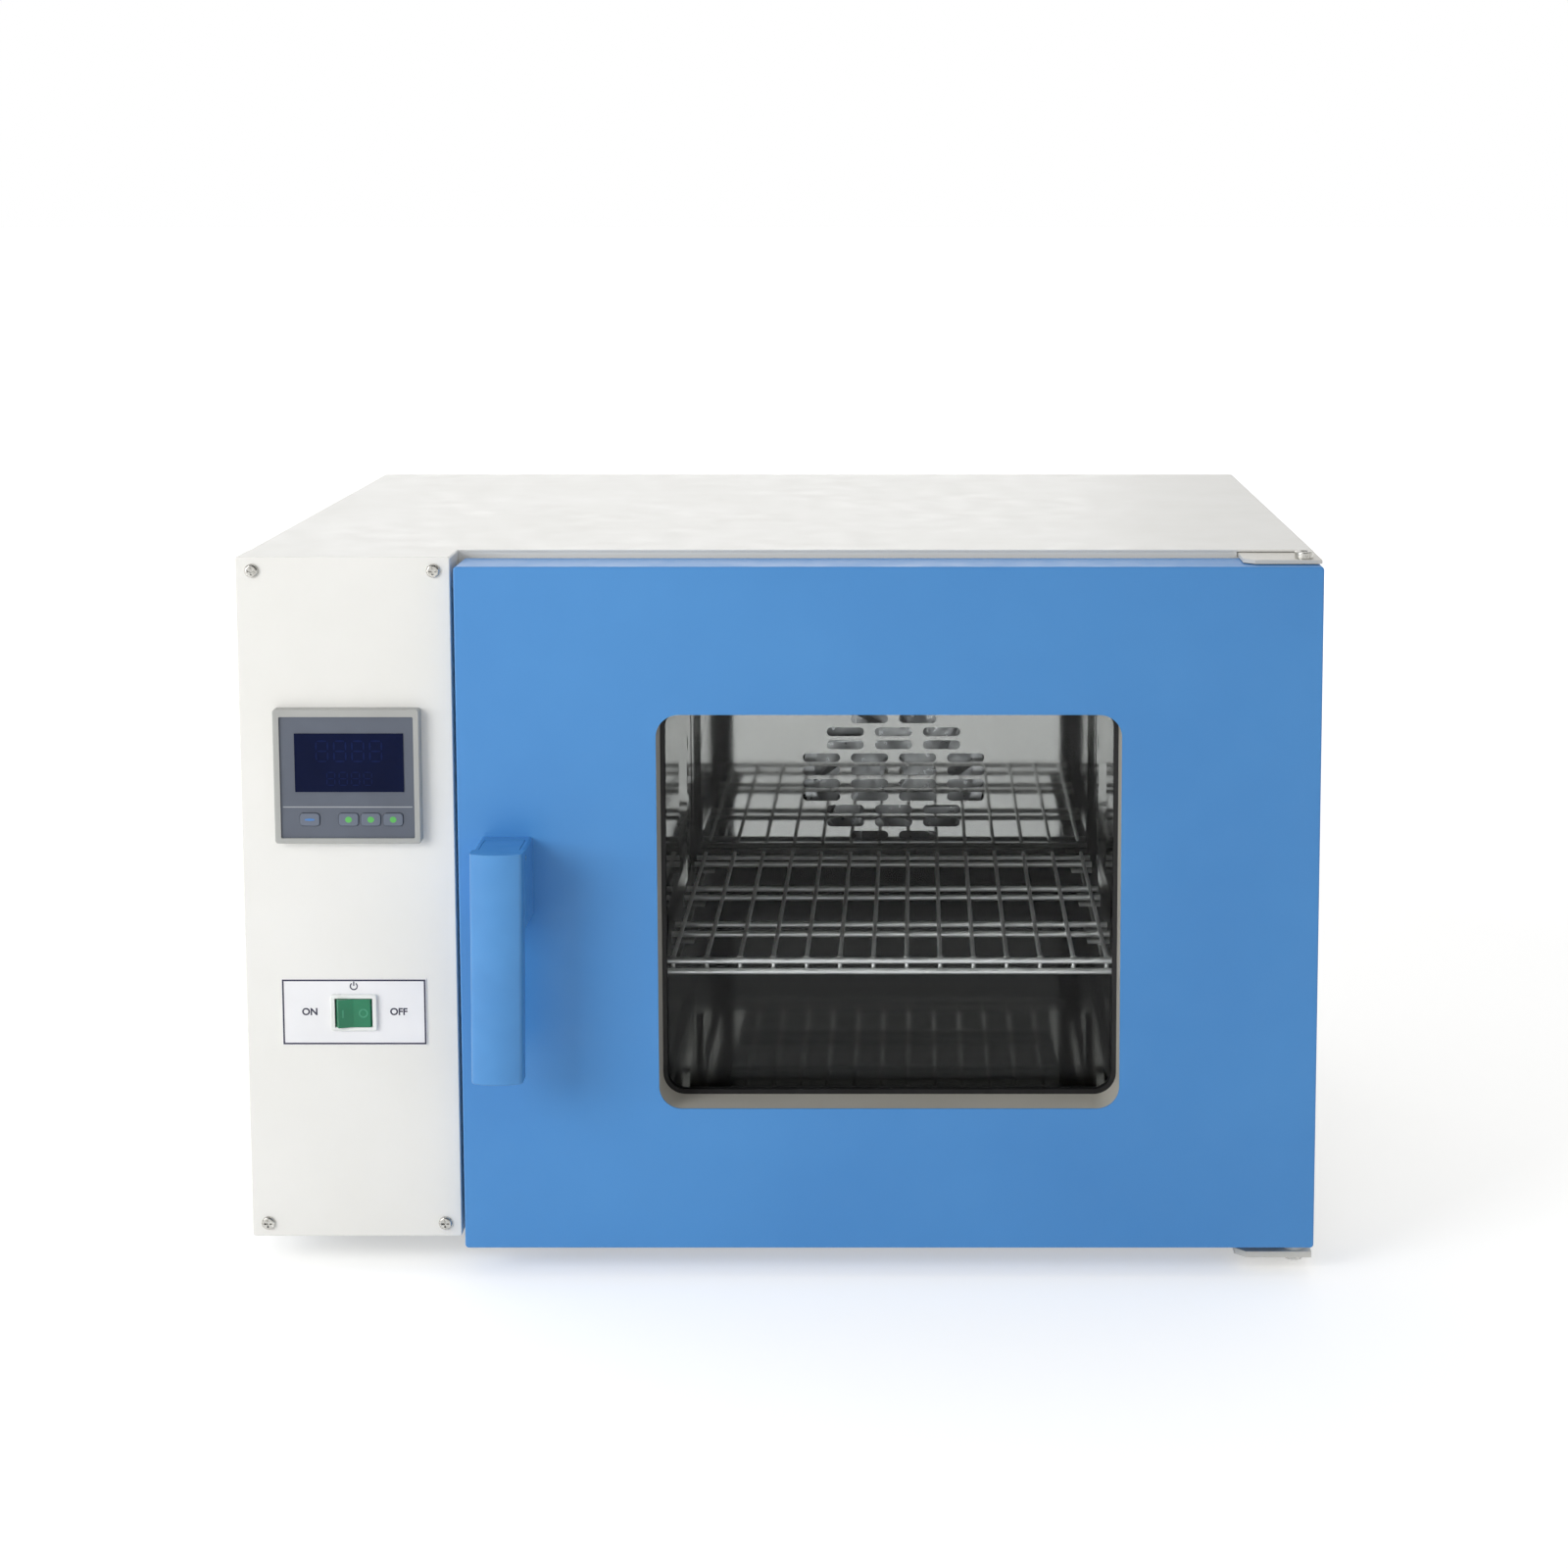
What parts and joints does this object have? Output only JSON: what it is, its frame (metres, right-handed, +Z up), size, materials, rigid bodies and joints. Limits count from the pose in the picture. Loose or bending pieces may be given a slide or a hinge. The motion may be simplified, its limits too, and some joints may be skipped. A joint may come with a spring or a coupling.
{
  "type": "hot air sterilizer",
  "caption": "Bench-top hot air sterilizer: white steel cabinet with a side control panel, windowed hinged door with pull handle, fan-blown stainless chamber and wire shelf.",
  "frame": {"origin": "on the surface the feet stand on, under the middle of the overall box", "axes": "+X to the right as the user faces it, +Y to the back, +Z up"},
  "size_m": [0.71, 0.589, 0.487],
  "materials": {
    "white_powder_coat": "semi-gloss fine-textured powder coat",
    "blue_powder_coat": "semi-gloss powder coat",
    "hinge_plate_coat": "semi-gloss powder coat",
    "reveal_coat": "satin warm grey coat",
    "blue_plastic": "satin moulded",
    "stainless_sheet": "bright rolled",
    "galvanised_sheet": "dull zinc",
    "shelf_wire": "electropolished",
    "bright_steel": "zinc plated",
    "heater_sheath": "heat-darkened",
    "fan_aluminium": "stamped",
    "motor_enamel": "black enamel",
    "mineral_wool": "matt, fibrous",
    "window_glass": "polished float glass",
    "black_silicone": "matt",
    "white_silicone": "satin",
    "black_rubber": "matt",
    "white_nylon": "satin",
    "grey_bezel": "satin moulded",
    "slate_face": "satin film",
    "display": "gloss lens",
    "grey_key": "satin pillow",
    "plate_white": "satin film",
    "white_plastic": "gloss moulded",
    "green_rocker": "gloss translucent",
    "black_nylon": "satin",
    "relay_plastic": "satin"
  },
  "bodies": {
    "cabinet": {"outer_shell": "white_powder_coat", "base_pan": "galvanised_sheet", "feet": "black_rubber", "foot_bolts": "bright_steel", "front_fascia": "white_powder_coat", "bay_divider": "galvanised_sheet", "chamber_liner": "stainless_sheet", "lagging": "mineral_wool", "baffle": "stainless_sheet", "shelf_uprights": "stainless_sheet", "shelf_runners": "stainless_sheet", "fan_motor": "motor_enamel", "motor_bracket": "galvanised_sheet", "ring_heaters": "heater_sheath", "temperature_probe": "bright_steel", "top_hinge_plate": "hinge_plate_coat", "bottom_hinge_plate": "hinge_plate_coat", "bottom_plate_screws": "bright_steel", "top_hinge_bolt": "bright_steel", "bottom_hinge_bolt": "bright_steel", "hinge_spacer": "white_nylon", "latch_keeper": "galvanised_sheet", "control_panel": "white_powder_coat", "panel_posts": "galvanised_sheet", "panel_screws": "bright_steel", "controller_case": "grey_bezel", "controller_face": "slate_face", "display_lens": "display", "power_plate": "plate_white", "switch_housing": "white_plastic", "rear_cover": "white_powder_coat", "vent_duct": "stainless_sheet", "vent_plate": "stainless_sheet", "cord_gland": "black_nylon", "gland_nut": "black_nylon", "rear_screws": "bright_steel", "heater_relay": "relay_plastic", "terminal_block": "relay_plastic"},
    "door": {"hinge_bushes": "bright_steel", "door_skin": "blue_powder_coat", "door_liner": "stainless_sheet", "window_panes": "window_glass", "pane_frame": "black_silicone", "window_seal": "black_silicone", "window_reveal": "reveal_coat", "door_lagging": "mineral_wool", "door_gasket": "white_silicone", "handle_base": "blue_plastic", "handle_pin": "bright_steel"},
    "handle": {"handle_lever": "blue_plastic", "latch_bar": "bright_steel"},
    "shelf": {"wire_shelf": "shelf_wire"},
    "fan": {"fan_wheel": "fan_aluminium", "fan_shaft": "bright_steel"},
    "set_key": {"key_set": "grey_key"},
    "shift_key": {"key_shift": "grey_key"},
    "down_key": {"key_down": "grey_key"},
    "up_key": {"key_up": "grey_key"},
    "rocker": {"power_rocker": "green_rocker"},
    "shutter": {"vent_shutter": "black_nylon"}
  },
  "joints": [
    {"name": "door_swing", "type": "hinge", "parent": "cabinet", "child": "door", "pos_m": [0.344, -0.2225, 0.2497], "axis": [0, 0, 1], "range_deg": [0, 120]},
    {"name": "handle_pull", "type": "hinge", "parent": "door", "child": "handle", "pos_m": [-0.1783, -0.2725, 0.2942], "axis": [-1, 0, 0], "range_deg": [0, 10], "stiffness_Nm_per_rad": 1.5, "springref_deg": -5.73},
    {"name": "shelf_slide", "type": "slide", "parent": "cabinet", "child": "shelf", "axis": [0, -1, 0], "range_m": [-0.014, 0.008]},
    {"name": "fan_spin", "type": "hinge", "parent": "cabinet", "child": "fan", "pos_m": [0.07215, 0.15, 0.259], "axis": [0, 1, 0], "continuous": true},
    {"name": "power_rock", "type": "hinge", "parent": "cabinet", "child": "rocker", "pos_m": [-0.2834, -0.2272, 0.1788], "axis": [0, 0, -1], "range_deg": [0, 16]},
    {"name": "vent_turn", "type": "hinge", "parent": "cabinet", "child": "shutter", "pos_m": [0.18615, 0.2828, 0.372], "axis": [0, 1, 0], "range_deg": [0, 45]},
    {"name": "set_key_press", "type": "slide", "parent": "cabinet", "child": "set_key", "axis": [0, 1, 0], "range_m": [0, 0.0006], "stiffness_N_per_m": 400},
    {"name": "shift_key_press", "type": "slide", "parent": "cabinet", "child": "shift_key", "axis": [0, 1, 0], "range_m": [0, 0.0006], "stiffness_N_per_m": 400},
    {"name": "down_key_press", "type": "slide", "parent": "cabinet", "child": "down_key", "axis": [0, 1, 0], "range_m": [0, 0.0006], "stiffness_N_per_m": 400},
    {"name": "up_key_press", "type": "slide", "parent": "cabinet", "child": "up_key", "axis": [0, 1, 0], "range_m": [0, 0.0006], "stiffness_N_per_m": 400}
  ]
}
